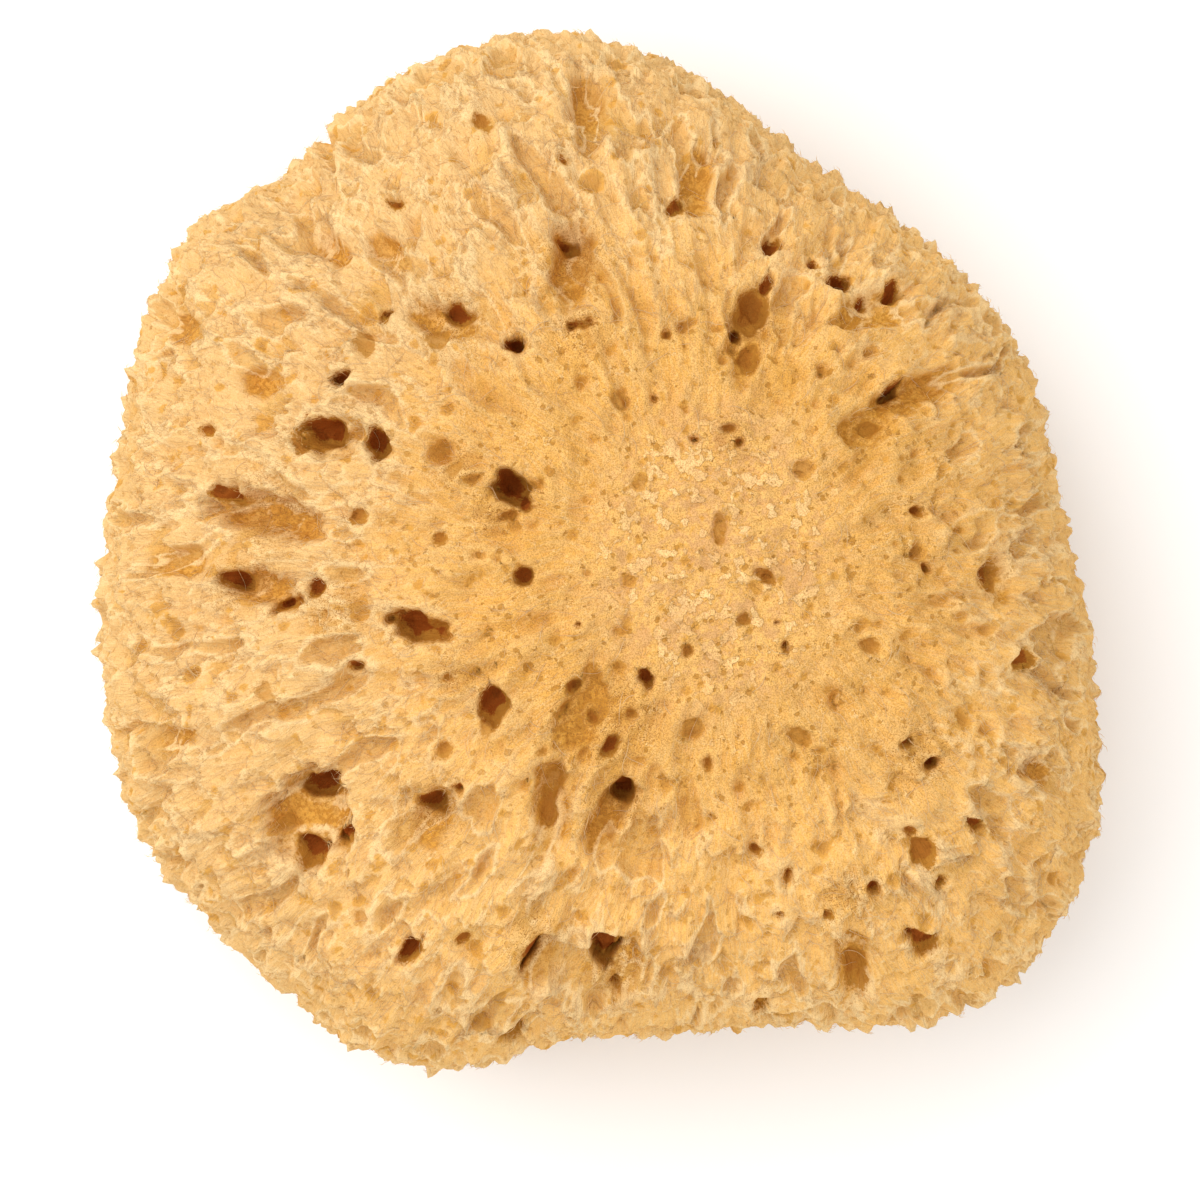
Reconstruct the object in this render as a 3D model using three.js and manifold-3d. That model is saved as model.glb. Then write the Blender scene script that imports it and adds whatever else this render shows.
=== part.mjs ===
// A dried sea sponge, whole, lying on the flat face where it was cut from its rock.
// Units are millimetres, +Z is up, and the origin is the middle of the underside.
// The sponge grew as one piece, so it is one closed body: a low dome with a lobed outline
// and a tucked-in underside, and the large canal mouths sunk into it as blind pits.

import * as THREE from 'three';
import { mergeVertices } from 'three/addons/utils/BufferGeometryUtils.js';
import Module from 'manifold-3d';

// Driving dimensions.
const HEIGHT = 78;            // floor to the crown
const WIDEST_HEIGHT = 31;     // where the flank reaches its full outline
const UNDERSIDE_REACH = 0.82; // the cut face, as a share of the full outline
const DOME_POWER = 2.8;       // 2 is a round dome, more is a flatter one with a tighter rim
const TUCK_POWER = 2.2;       // how the flank curls under to the cut face

// Facets.
const ROUND_STEPS = 84;
const DOME_STEPS = 15;
const TUCK_STEPS = 5;
const CUT_STEPS = 2;
const PIT_SIDES = 10;

const COLOUR = 0xe8b56a;

// The outline seen from above, anticlockwise from the right, [x, y].
const OUTLINE = [
  [68, 6], [63, 27], [52, 42], [33, 55], [13, 70], [-5, 76], [-26, 71], [-40, 61],
  [-47, 54], [-58, 49], [-65, 37], [-71, 12], [-73, -13], [-69, -38], [-52, -60],
  [-28, -76], [-2, -72], [25, -70], [56, -67], [71, -49], [73, -20],
];

// Broad swells of the crown: [x, y, reach, rise].
const SWELLS = [
  [17, -2, 24, 1.2], [-24, 46, 20, 1.6], [40, 26, 16, 1.4], [-50, -4, 13, -1.6],
  [-40, -32, 16, -1.8], [-20, -62, 15, 1.2], [46, -48, 18, 1.4], [2, -44, 13, -1.6],
  [-14, 20, 17, 1.3], [22, 44, 13, -1.5], [-46, 30, 14, 1.4], [-52, -22, 12, 1.6],
];

// The large mouths of the canals: [x, y, length, width, heading in degrees, depth].
const MOUTHS = [
  [-39.3, 16.4, 8.6, 7.0, 165, 11],
  [-31.6, 14.9, 5.4, 4.4, 100, 9],
  [-12.6, 8.5, 6.2, 5.4, 120, 13],
  [-47.4, 5.1, 17.0, 6.4, 165, 6],
  [-47.6, -6.2, 10.5, 4.8, 175, 7],
  [-25.7, -11.5, 11.0, 5.6, 165, 9],
  [-14.8, -23.2, 6.8, 5.6, 75, 9],
  [-42.4, -39.0, 13.5, 12.0, 50, 7],
  [-23.6, -38.4, 7.4, 5.2, 60, 6],
  [-6.7, -36.8, 12.0, 5.4, 88, 6],
  [2.7, -37.4, 9.6, 5.2, 65, 8],
  [-9.3, -57.1, 8.6, 4.2, 55, 8],
  [1.1, -58.3, 6.6, 5.4, 80, 10],
  [-27.0, -58.5, 7.0, 4.4, 45, 8],
  [-3.5, 41.0, 13.0, 6.0, 88, 6],
  [-1.1, 63.2, 10.5, 6.2, 92, 5],
  [14.0, 52.0, 11.0, 5.4, 80, 6],
  [22.0, 33.0, 8.4, 6.4, 75, 10],
  [35.2, 38.3, 4.8, 4.4, 40, 9],
  [46.6, 22.6, 13.0, 5.4, 22, 6],
  [38.9, 17.0, 7.4, 5.6, 20, 6],
  [23.9, -4.3, 4.8, 4.2, 160, 8],
  [47.2, -43.6, 7.2, 5.6, 100, 8],
  [47.1, -57.1, 6.4, 5.2, 130, 7],
];

// A mouth leans inwards, because the canals run out from the holdfast under the crown.
const HOLDFAST = new THREE.Vector2(17, -1.5);
const FULL_LEAN = THREE.MathUtils.degToRad(24);
const LEAN_REACH = 70;
const MOUTH_PROUD = 6; // the cutter stands this far out of the surface

const outline = new THREE.CatmullRomCurve3(
  OUTLINE.map(([x, y]) => new THREE.Vector3(x, y, 0)), true, 'centripetal');

// Height of the smooth dome at a share of the way from the middle to the outline.
function domeHeight(reach) {
  const fall = Math.pow(Math.min(reach, 1), DOME_POWER);
  return WIDEST_HEIGHT + (HEIGHT - WIDEST_HEIGHT) * Math.pow(1 - fall, 1 / DOME_POWER);
}

// What the swells add at a point of the crown.
function swellAt(x, y) {
  let rise = 0;
  for (const [cx, cy, reach, lift] of SWELLS) {
    const away = ((x - cx) ** 2 + (y - cy) ** 2) / reach ** 2;
    rise += lift * Math.exp(-away);
  }
  return rise;
}

// The section of the sponge as [reach, height], from the middle of the cut face,
// out and up the flank, and over the dome to the crown.
function sectionProfile() {
  const points = [];
  for (let i = 0; i < CUT_STEPS; i += 1) {
    points.push(new THREE.Vector2(UNDERSIDE_REACH * i / CUT_STEPS, 0));
  }
  for (let i = 0; i < TUCK_STEPS; i += 1) {
    const height = i / TUCK_STEPS;
    const bulge = Math.pow(1 - Math.pow(1 - height, TUCK_POWER), 1 / TUCK_POWER);
    const reach = UNDERSIDE_REACH + (1 - UNDERSIDE_REACH) * bulge;
    points.push(new THREE.Vector2(reach, WIDEST_HEIGHT * height));
  }
  for (let i = 0; i <= DOME_STEPS; i += 1) {
    const turn = (Math.PI / 2) * i / DOME_STEPS;
    const reach = i === DOME_STEPS ? 0 : Math.pow(Math.cos(turn), 2 / DOME_POWER);
    points.push(new THREE.Vector2(reach, domeHeight(reach)));
  }
  return points;
}

// A three.js geometry as a manifold solid, with its seam and poles joined up.
function toSolid(wasm, geometry) {
  const bare = geometry.clone();
  bare.deleteAttribute('normal');
  bare.deleteAttribute('uv');
  const joined = mergeVertices(bare, 1e-4);
  const corners = joined.index.array;
  const triangles = [];
  for (let i = 0; i < corners.length; i += 3) {
    const [a, b, c] = corners.slice(i, i + 3);
    if (a !== b && b !== c && c !== a) triangles.push(a, b, c);
  }
  return new wasm.Manifold(new wasm.Mesh({
    numProp: 3,
    vertProperties: new Float32Array(joined.attributes.position.array),
    triVerts: new Uint32Array(triangles),
  }));
}

// A manifold solid back as a three.js geometry.
function toGeometry(solid) {
  const mesh = solid.getMesh();
  const geometry = new THREE.BufferGeometry();
  geometry.setAttribute('position', new THREE.BufferAttribute(mesh.vertProperties, 3));
  geometry.setIndex(new THREE.BufferAttribute(mesh.triVerts, 1));
  geometry.computeVertexNormals();
  return geometry;
}

// The dome: a turned section whose circles are stretched to the lobed outline.
function domeGeometry() {
  const geometry = new THREE.LatheGeometry(sectionProfile(), ROUND_STEPS);
  const position = geometry.attributes.position;
  const rim = new THREE.Vector3();
  for (let i = 0; i < position.count; i += 1) {
    // A lathe turns about +Y, so its height is y here.
    const reach = Math.hypot(position.getX(i), position.getZ(i));
    const height = position.getY(i);
    const turn = Math.atan2(-position.getZ(i), position.getX(i)) / (2 * Math.PI);
    outline.getPoint((turn + 1) % 1, rim);
    const x = rim.x * reach;
    const y = rim.y * reach;
    const onDome = THREE.MathUtils.smoothstep(height, WIDEST_HEIGHT, 0.8 * HEIGHT);
    position.setXYZ(i, x, y, height + onDome * swellAt(x, y));
  }
  return geometry;
}

// One mouth: a blind pit with a flared lip, narrowing to a round bottom.
function mouthGeometry([x, y, length, width, heading, depth], height) {
  const profile = [
    [0, MOUTH_PROUD], [0.72, MOUTH_PROUD], [0.5, 0], [0.42, -0.4 * depth],
    [0.27, -0.8 * depth], [0, -depth],
  ].map(([reach, z]) => new THREE.Vector2(reach, z));
  profile.reverse();
  const geometry = new THREE.LatheGeometry(profile, PIT_SIDES);
  geometry.rotateX(Math.PI / 2);
  geometry.scale(length, width, 1);
  geometry.rotateZ(THREE.MathUtils.degToRad(heading));
  const out = new THREE.Vector2(x, y).sub(HOLDFAST);
  const lean = FULL_LEAN * Math.min(out.length() / LEAN_REACH, 1);
  const axis = new THREE.Vector3(-out.y, out.x, 0).normalize();
  geometry.applyMatrix4(new THREE.Matrix4().makeRotationAxis(axis, lean));
  geometry.translate(x, y, height);
  return geometry;
}

// Share of the way to the outline at a point of the crown.
function reachAt(x, y) {
  const towards = Math.atan2(y, x);
  let nearest = null;
  let least = Infinity;
  for (const point of outline.getPoints(360)) {
    const turn = Math.abs(Math.atan2(point.y, point.x) - towards);
    const apart = Math.min(turn, 2 * Math.PI - turn);
    if (apart < least) {
      least = apart;
      nearest = point;
    }
  }
  return Math.hypot(x, y) / Math.hypot(nearest.x, nearest.y);
}

// The whole sponge, with its mouths cut and its box centred over the origin.
function spongeGeometry(wasm) {
  let solid = toSolid(wasm, domeGeometry());
  for (const mouth of MOUTHS) {
    const [x, y] = mouth;
    const height = domeHeight(reachAt(x, y)) + swellAt(x, y);
    solid = solid.subtract(toSolid(wasm, mouthGeometry(mouth, height)));
  }
  const geometry = toGeometry(solid);
  geometry.computeBoundingBox();
  const middle = geometry.boundingBox.getCenter(new THREE.Vector3());
  return geometry.translate(-middle.x, -middle.y, -geometry.boundingBox.min.z);
}

const wasm = await Module();
wasm.setup();

const sponge = new THREE.Mesh(
  spongeGeometry(wasm),
  new THREE.MeshStandardMaterial({ color: COLOUR, roughness: 0.95, metalness: 0 }),
);
sponge.name = 'sponge';

const object = new THREE.Group();
object.add(sponge);

export default object;
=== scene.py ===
"""A dried sea sponge lying on its cut underside, with its canals, pores, tufts and loose fibres.

Shapes are worked out in millimetres and put into the meshes in metres.
"""
import math

import bpy
import numpy as np
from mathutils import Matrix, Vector


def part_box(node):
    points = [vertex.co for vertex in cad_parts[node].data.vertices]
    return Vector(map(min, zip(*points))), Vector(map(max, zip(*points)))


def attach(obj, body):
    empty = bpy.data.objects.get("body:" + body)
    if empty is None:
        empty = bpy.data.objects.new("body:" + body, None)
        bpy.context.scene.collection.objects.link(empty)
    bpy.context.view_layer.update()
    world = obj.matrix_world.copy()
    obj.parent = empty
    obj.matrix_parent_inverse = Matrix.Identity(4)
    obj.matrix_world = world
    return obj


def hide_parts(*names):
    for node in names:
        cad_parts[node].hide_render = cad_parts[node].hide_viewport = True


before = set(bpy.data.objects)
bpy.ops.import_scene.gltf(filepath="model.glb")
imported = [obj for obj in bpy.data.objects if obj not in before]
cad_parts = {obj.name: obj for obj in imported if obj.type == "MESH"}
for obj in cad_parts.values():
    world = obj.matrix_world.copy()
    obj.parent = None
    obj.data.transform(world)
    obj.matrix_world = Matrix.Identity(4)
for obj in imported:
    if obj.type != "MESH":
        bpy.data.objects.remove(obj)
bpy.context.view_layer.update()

MM = 0.001
SPONGE = "sponge"
low, high = (np.array(corner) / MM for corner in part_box(SPONGE))
SIZE = high - low
MIDDLE = (low + high) / 2

# ---------------------------------------------------------------- the sponge's form

WIDEST_HEIGHT = 31.0
UNDERSIDE_REACH = 0.82
DOME_POWER = 2.8
TUCK_POWER = 2.2
SKIN = -0.6  # the skin between tufts lies this far inside the solid's outline

OUTLINE = np.array([
    [68, 6], [63, 27], [52, 42], [33, 55], [13, 70], [-5, 76], [-26, 71], [-40, 61],
    [-47, 54], [-58, 49], [-65, 37], [-71, 12], [-73, -13], [-69, -38], [-52, -60],
    [-28, -76], [-2, -72], [25, -70], [56, -67], [71, -49], [73, -20],
], float)

HOLDFAST = np.array([17.0, -1.5])  # the matted patch that every canal runs out from

# Broad swells of the crown: x, y, reach, rise.
SWELLS = [
    (17, -2, 24, 1.2), (-24, 46, 20, 1.6), (40, 26, 16, 1.4), (-50, -4, 13, -1.6),
    (-40, -32, 16, -1.8), (-20, -62, 15, 1.2), (46, -48, 18, 1.4), (2, -44, 13, -1.6),
    (-14, 20, 17, 1.3), (22, 44, 13, -1.5), (-46, 30, 14, 1.4), (-52, -22, 12, 1.6),
]

# Mouths of the canals: x, y, length, width, heading in degrees, depth, and how dark the painted shade down
# them is.
MOUTHS = [
    (-39.3, 16.4, 7.0, 5.6, 165, 10, 1.0), (-31.6, 14.9, 5.0, 3.8, 100, 9, 1.0),
    (-12.6, 8.5, 5.8, 4.8, 120, 12, 1.0), (-10.5, -4.2, 3.6, 2.8, 110, 6, 0.8),
    (-34.0, 4.3, 2.6, 2.3, 0, 3, 0.6), (-40.5, -6.3, 2.8, 2.4, 60, 4, 0.8),
    (-12.0, 28.5, 3.2, 2.0, 10, 6, 1.0), (-36.4, 24.3, 3.4, 1.9, 15, 6, 1.0),
    (-52.6, -4.8, 4.4, 2.6, 170, 5, 0.9), (-45.0, -8.2, 4.0, 2.4, 15, 5, 0.9),
    (-54.5, 7.4, 4.0, 2.4, 150, 4, 0.8), (-30.0, 33.3, 3.4, 2.2, 20, 5, 0.8),
    (-20.5, 33.4, 5.0, 2.6, 165, 5, 0.9), (-33.2, 29.3, 3.6, 2.8, 90, 3, 0.5),
    (-2.8, 31.8, 3.6, 1.6, 5, 5, 0.9), (-4.2, 44.2, 2.8, 3.6, 90, 6, 0.8),
    (-23.0, 29.6, 4.0, 3.0, 30, 3, 0.5), (-29.0, 49.3, 3.2, 1.7, 160, 4, 0.7),
    (-16.6, 61.1, 3.6, 2.8, 120, 4, 0.6), (-4.8, 55.2, 1.7, 1.6, 0, 3, 0.7),
    (-22.8, 0.9, 2.2, 2.0, 0, 3, 0.6), (-56.3, 17.0, 1.7, 1.6, 0, 3, 0.7),
    (11.4, 49.3, 3.4, 2.6, 70, 5, 0.8), (25.2, 43.5, 2.9, 2.6, 30, 5, 0.8),
    (35.2, 38.3, 3.8, 3.1, 35, 8, 1.0), (42.9, 37.1, 3.0, 2.5, 60, 5, 0.9),
    (38.6, 36.1, 1.7, 1.5, 0, 3, 0.9), (31.3, 41.0, 1.6, 1.4, 0, 3, 0.8),
    (22.3, 34.2, 5.6, 4.6, 75, 6, 0.62), (21.6, 27.3, 4.6, 2.8, 80, 4, 0.6),
    (43.2, 22.9, 3.4, 2.4, 30, 6, 0.9), (39.4, 17.2, 3.2, 2.6, 20, 4, 0.5),
    (17.3, 2.6, 5.2, 2.2, 98, 3, 0.45), (23.9, -4.3, 3.4, 2.2, 160, 4, 0.62),
    (45.7, 5.1, 2.0, 1.8, 0, 3, 0.7), (47.4, -3.0, 1.7, 1.6, 0, 3, 0.7),
    (57.7, -3.8, 4.4, 2.8, 95, 4, 0.7), (13.9, 15.2, 1.4, 0.8, 170, 3, 0.8),
    (8.0, 21.4, 1.6, 1.4, 0, 3, 0.6), (9.6, 30.2, 1.7, 1.5, 0, 3, 0.6),
    (18.6, 17.0, 1.7, 1.1, 0, 3, 0.6), (20.2, 14.9, 1.6, 1.2, 40, 3, 0.7),
    (-25.7, -11.5, 10.5, 4.6, 165, 9, 1.0), (-15.1, -22.9, 6.2, 4.8, 80, 8, 0.9),
    (-34.8, -17.0, 2.0, 1.7, 0, 3, 0.8), (-40.5, -35.2, 6.4, 4.0, 20, 8, 0.9),
    (-41.7, -44.5, 6.0, 3.6, 160, 7, 0.85), (-36.6, -41.9, 3.4, 2.4, 40, 7, 0.9),
    (-23.9, -37.1, 3.4, 3.2, 0, 6, 0.8), (-19.6, -34.6, 2.2, 1.8, 0, 4, 0.8),
    (-6.9, -38.6, 5.6, 2.8, 88, 5, 0.6), (-5.9, -33.8, 4.2, 2.6, 80, 4, 0.45),
    (3.7, -35.5, 4.6, 3.3, 80, 8, 0.95), (-3.6, -19.9, 2.6, 1.8, 60, 4, 0.7),
    (1.7, -28.5, 3.4, 2.0, 60, 5, 0.8), (7.0, -18.9, 3.0, 2.2, 120, 5, 0.95),
    (-27.0, -58.5, 5.2, 2.8, 45, 7, 0.9), (-19.4, -56.5, 2.4, 1.9, 60, 4, 0.7),
    (-9.6, -58.4, 5.8, 2.6, 62, 8, 1.0), (1.1, -58.3, 6.6, 5.0, 85, 12, 1.0),
    (2.6, -64.2, 3.2, 1.6, 90, 5, 0.9), (-12.6, -71.7, 3.8, 3.2, 20, 5, 0.9),
    (-34.0, -53.5, 2.6, 2.2, 0, 3, 0.4), (-47.9, -21.1, 3.2, 2.4, 140, 3, 0.4),
    (20.9, -10.5, 2.0, 1.7, 0, 4, 0.55), (26.8, -14.1, 1.7, 1.2, 120, 4, 0.8),
    (39.0, -14.3, 2.7, 2.4, 0, 3, 0.5), (12.8, -15.0, 1.9, 1.5, 90, 3, 0.55),
    (28.8, -27.0, 3.8, 2.2, 150, 3, 0.5), (15.8, -31.2, 1.8, 1.4, 110, 3, 0.6),
    (43.8, -27.9, 2.6, 1.6, 20, 4, 0.9), (47.9, -31.1, 2.6, 1.8, 30, 5, 0.95),
    (54.4, -39.9, 2.2, 2.0, 0, 4, 0.85), (46.9, -43.8, 6.0, 4.2, 105, 6, 0.65),
    (49.6, -48.4, 2.4, 1.9, 30, 4, 0.8), (39.5, -48.8, 2.9, 1.9, 150, 4, 0.9),
    (47.1, -57.1, 5.2, 3.8, 125, 7, 0.85), (37.3, -62.7, 6.0, 3.6, 100, 5, 0.6),
    (23.8, -66.1, 2.6, 2.0, 30, 4, 0.9), (27.4, -47.0, 2.6, 1.5, 90, 3, 0.8),
    (61.1, -16.1, 4.0, 3.4, 80, 5, 0.8), (22.9, -43.6, 2.0, 1.6, 0, 3, 0.7),
    (33.0, -52.6, 2.0, 1.6, 0, 3, 0.7), (26.5, -52.6, 1.8, 1.5, 0, 3, 0.7),
    (-10.4, 5.9, 2.6, 1.6, 110, 6, 1.0), (-12.8, 4.5, 3.2, 1.5, 10, 4, 0.6),
    (-8.1, 9.2, 2.0, 1.8, 0, 3, 0.5),
    (-16.9, -1.2, 1.8, 1.5, 0, 2, 0.4), (-14.3, -1.3, 1.2, 1.1, 0, 2, 0.35),
    (-1.2, -3.8, 1.4, 1.2, 0, 2, 0.35),
    (-2.5, -11.0, 1.0, 0.8, 0, 3, 0.7), (-7.8, -29.0, 1.8, 1.4, 30, 3, 0.5),
    (-22.2, -29.2, 2.8, 2.0, 45, 3, 0.55),
    (-20.2, 11.2, 2.8, 1.8, 60, 2, 0.4), (-21.7, -18.6, 1.3, 1.0, 60, 2, 0.6),
    (24.6, 9.2, 0.7, 0.5, 0, 2, 0.9), (25.7, -10.8, 0.7, 0.6, 0, 2, 0.9),
    (1.6, -27.8, 2.2, 1.6, 70, 4, 0.75),
    (-4.9, -23.4, 2.4, 1.4, 50, 3, 0.6), (-0.6, -25.0, 1.8, 1.2, 120, 3, 0.65),
    (4.8, -24.0, 1.6, 1.3, 0, 3, 0.5),
    (-42.8, 14.4, 3.0, 1.6, 120, 5, 0.6), (-22.4, -12.4, 3.6, 2.2, 160, 5, 0.7),
    (-16.2, -26.0, 3.2, 2.2, 100, 3, 0.5),
    (24.2, 37.2, 2.6, 1.6, 60, 5, 0.8), (20.0, 31.0, 2.4, 1.6, 100, 5, 0.85),
    (44.9, -40.9, 2.6, 1.6, 120, 4, 0.7),
]

# Open troughs with smooth floors: x, y, length, width, heading in degrees, depth.
TROUGHS = [
    (-47.4, 4.6, 17, 6.0, 166, 3.7), (-48.6, -6.0, 10.5, 4.6, 172, 2.8),
    (-3.5, 40.0, 14, 6.0, 88, 3.0), (-39.0, 43.6, 9, 4.0, 140, 2.4),
    (-1.1, 63.2, 12, 6.2, 92, 2.6), (-48.9, 23.7, 7, 4.6, 165, 2.2),
    (14.3, 52.1, 11, 5.4, 80, 1.8), (46.4, 22.4, 14, 5.0, 22, 2.2),
    (38.9, 17.0, 8, 5.8, 20, 1.8), (21.6, 30.0, 13, 6.0, 82, 1.8),
    (-42.0, -39.6, 14, 12, 60, 3.4), (-23.6, -39.4, 9, 5.0, 60, 2.4),
    (-6.7, -37.4, 13, 5.6, 86, 1.9), (1.6, -39.6, 12, 5.2, 62, 2.8),
    (-61.0, -2.3, 9, 5.0, 175, 2.0), (-60.8, 32.1, 7, 5.0, 150, 1.6),
    (-2.0, -24.0, 13, 6.5, 60, 1.8), (-21.0, 32.4, 11, 5.0, 162, 1.6),
    (-62.4, -28.5, 8, 4.4, 20, 2.0), (64.5, -33.0, 7, 4.0, 150, 2.0),
    (-8.2, -60.5, 9, 4.4, 60, 2.0), (40.4, 34.4, 10, 6.0, 10, 1.4),
    (-30.0, 42.0, 9, 4.0, 130, 1.8), (58.0, -5.0, 8, 5.0, 100, 1.6),
    (37.3, -61.0, 10, 5.0, 100, 1.8), (4.0, -61.0, 9, 5.0, 80, 1.8),
]

# Worn patches, brown and stippled: x, y, reach.
WORN = [
    (1.0, -24.0, 7.0), (-20.5, -18.5, 3.0), (-20.2, 11.0, 3.0), (23.0, 32.0, 3.5), (-2.6, 30.5, 3.5),
    (3.0, -61.0, 4.0), (-9.0, -57.0, 4.5), (3.0, -37.0, 4.5), (46.0, -30.0, 5.0),
    (-51.0, -5.0, 4.5), (-37.0, -8.8, 4.0), (19.0, 15.5, 2.5), (-15.5, 5.2, 2.5),
    (-24.0, -38.0, 4.5), (-3.5, 41.0, 5.0), (36.0, -50.0, 4.0), (-22.0, 32.0, 4.5), (-47.4, 4.6, 5.0),
]

# ---------------------------------------------------------------- number tools


def smooth(edge0, edge1, x):
    """Eased step: 0 below edge0, 1 above edge1, and a cubic ease between them."""
    t = np.clip((x - edge0) / (edge1 - edge0), 0, 1)
    return t * t * (3 - 2 * t)


def unit(vectors):
    """Each vector divided by its own length."""
    return vectors / np.maximum(np.linalg.norm(vectors, axis=-1, keepdims=True), 1e-9)


def hashed(cell, seed):
    """A whole number from 0 to 65535 for each lattice cell, mixed from its three counts and a seed."""
    x, y, z = (cell[..., i].astype(np.int64).astype(np.uint32) for i in range(3))
    h = x * np.uint32(374761393) + y * np.uint32(668265263) + z * np.uint32(2246822519)
    h += np.uint32(seed * 2654435 + 97)
    h = (h ^ (h >> np.uint32(13))) * np.uint32(1274126177)
    h = (h ^ (h >> np.uint32(15))) * np.uint32(2246822519)
    return (h >> np.uint32(16)).astype(np.int64)


GRADIENTS = unit(np.random.default_rng(3).normal(size=(256, 3)))
JITTER = np.random.default_rng(4).random((4096, 4))


def noise(p, seed=0):
    """Gradient noise, about -1 to 1: at each lattice corner a random slope, eased between the corners."""
    base = np.floor(p)
    f = p - base
    ease = f * f * f * (f * (f * 6 - 15) + 10)
    total = 0.0
    for corner in np.ndindex(2, 2, 2):
        c = np.array(corner)
        slope = GRADIENTS[hashed(base + c, seed) & 255]
        weight = np.prod(np.where(c == 1, ease, 1 - ease), axis=-1)
        total = total + weight * np.sum(slope * (f - c), axis=-1)
    return total * 1.6


def layered(p, octaves, seed=0, rough=0.5):
    """Noise summed over octaves, each twice as fine and rough times as strong."""
    total, strength = 0.0, 1.0
    for i in range(octaves):
        total = total + strength * noise(p * 2.0 ** i, seed + 31 * i)
        strength *= rough
    return total


def cells(p, seed=0, jitter=0.9):
    """Scattered points, one to a lattice cell: the distance to the nearest and the next, the offset
    from the nearest and a random number that belongs to it."""
    base = np.floor(p)
    first = np.full(p.shape[:-1], 9.0)
    second = first.copy()
    offset = np.zeros_like(p)
    owner = np.zeros(p.shape[:-1])
    for step in np.ndindex(3, 3, 3):
        cell = base + np.array(step) - 1
        luck = JITTER[hashed(cell, seed) & 4095]
        away = p - cell - 0.5 - jitter * (luck[..., :3] - 0.5)
        distance = np.linalg.norm(away, axis=-1)
        nearer = distance < first
        second = np.where(nearer, first, np.minimum(second, distance))
        first = np.where(nearer, distance, first)
        offset = np.where(nearer[..., None], away, offset)
        owner = np.where(nearer, luck[..., 3], owner)
    return first, second, offset, owner


# ---------------------------------------------------------------- the smooth dome

angles = np.arctan2(OUTLINE[:, 1], OUTLINE[:, 0])
order = np.argsort(angles)
ring_angles, ring_radii = angles[order], np.hypot(*OUTLINE[order].T)


def outline_radius(angle):
    """The outline's distance from the middle at each angle: a closed Catmull-Rom curve through its points."""
    count = len(ring_angles)
    at = (angle - ring_angles[0]) % (2 * np.pi) + ring_angles[0]
    i = np.searchsorted(ring_angles, at, side="right") - 1

    def knot(k):
        return ring_angles[k % count] + 2 * np.pi * (k // count), ring_radii[k % count]

    (a0, r0), (a1, r1), (a2, r2), (a3, r3) = knot(i - 1), knot(i), knot(i + 1), knot(i + 2)
    span = a2 - a1
    t = (at - a1) / span
    slope1 = (r2 - r0) / (a2 - a0) * span
    slope2 = (r3 - r1) / (a3 - a1) * span
    return ((2 * t ** 3 - 3 * t ** 2 + 1) * r1 + (t ** 3 - 2 * t ** 2 + t) * slope1
            + (3 * t ** 2 - 2 * t ** 3) * r2 + (t ** 3 - t ** 2) * slope2)


half_degrees = np.linspace(-np.pi, np.pi, 721)
rim_curve = outline_radius(half_degrees) * np.array([np.cos(half_degrees), np.sin(half_degrees)])
OUTLINE_SHIFT = MIDDLE[:2] - (rim_curve.max(1) + rim_curve.min(1)) / 2  # centres the outline on the solid
SWELL_OVER_CROWN = 1.1
CROWN = SIZE[2] - SWELL_OVER_CROWN


def dome_height(reach):
    """Height of the smooth dome at a share of the way to the outline, on a flattened round section."""
    fall = np.clip(reach, 0, 1) ** DOME_POWER
    return WIDEST_HEIGHT + (CROWN - WIDEST_HEIGHT) * (1 - fall) ** (1 / DOME_POWER)


def worn_share(xy):
    """How worn each place is, from 0 to 1: the strongest of the round patches."""
    return np.maximum.reduce([np.exp(-((xy[..., 0] - x) ** 2 + (xy[..., 1] - y) ** 2) / reach ** 2)
                              for x, y, reach in WORN])


def swell(xy):
    """What the broad swells add to the crown at each place: a sum of round hills and dips."""
    total = 0.0
    for x, y, reach, rise in SWELLS:
        away = ((xy[..., 0] - x) ** 2 + (xy[..., 1] - y) ** 2) / reach ** 2
        total = total + rise * np.exp(-away)
    return total


# The section from the crown down to the cut, as shares of the way along: rows of the mesh are
# closer on the crown, where the sponge shows most.
CROWN_ROWS = 138
FLANK_ROWS = 16  # few, because the side sheet covers them
ROWS = CROWN_ROWS + FLANK_ROWS
SHOULDER = 0.93  # the crown's rows end at this reach


def section(row):
    """Reach and height of the section at a row: out over the crown evenly, then down round the shoulder
    and flank by angle, then in under the widest place."""
    crown = SHOULDER * row / CROWN_ROWS
    down = np.clip((row - CROWN_ROWS) / FLANK_ROWS, 0, 1)
    shoulder_turn = math.acos(SHOULDER ** (DOME_POWER / 2))
    side_share = 0.62
    turn = shoulder_turn * np.clip(1 - down / side_share, 0, 1)
    side = np.cos(turn) ** (2 / DOME_POWER)
    tuck = np.clip((down - side_share) / (1 - side_share), 0, 1)
    height = 1 - tuck
    under = UNDERSIDE_REACH + (1 - UNDERSIDE_REACH) * (1 - (1 - height) ** TUCK_POWER) ** (1 / TUCK_POWER)
    reach = np.where(row <= CROWN_ROWS, crown, np.where(down <= side_share, side, under))
    above = dome_height(reach)
    return reach, np.where(down <= side_share, above, WIDEST_HEIGHT * height)


def square_rings(count):
    """A square grid of 2 x count + 1 points a side, as the row and the angle of each: row k is the kth
    square ring about the middle, and its points are spread evenly round a circle."""
    u, v = np.meshgrid(np.arange(-count, count + 1), np.arange(-count, count + 1), indexing="ij")
    row = np.maximum(abs(u), abs(v)).astype(float)
    safe = np.maximum(row, 1)
    side_on = abs(u) >= abs(v)
    angle = np.where(side_on, v / safe, 2 - u / safe) * np.pi / 4
    angle = np.where(side_on & (u < 0), np.pi - v / safe * np.pi / 4, angle)
    angle = np.where(~side_on & (v < 0), -np.pi / 2 + u / safe * np.pi / 4, angle)
    return row, angle


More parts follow.
